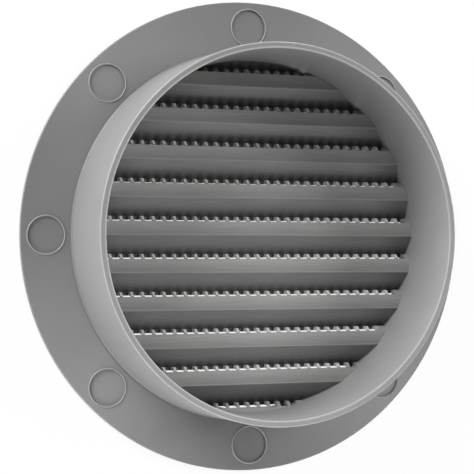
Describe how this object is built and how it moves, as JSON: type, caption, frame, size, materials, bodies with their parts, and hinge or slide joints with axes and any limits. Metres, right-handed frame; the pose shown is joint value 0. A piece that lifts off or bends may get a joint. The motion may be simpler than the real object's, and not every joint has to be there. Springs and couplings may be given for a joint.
{
  "type": "round soffit vent",
  "caption": "Round plastic soffit vent: a duct spigot on a wide flange, with slanted louvre blades and comb-like insect bars across the opening.",
  "frame": {"origin": "on the spigot's axis, in the plane of the flange's visible front face", "axes": "+Z along the spigot, away from the visible face and into the duct; +X along the blades; +Y towards the upper rows"},
  "size_m": [0.192, 0.192, 0.0404],
  "materials": {
    "grey_plastic": "satin moulded"
  },
  "bodies": {
    "root": {"vent_body": "grey_plastic"}
  },
  "joints": []
}
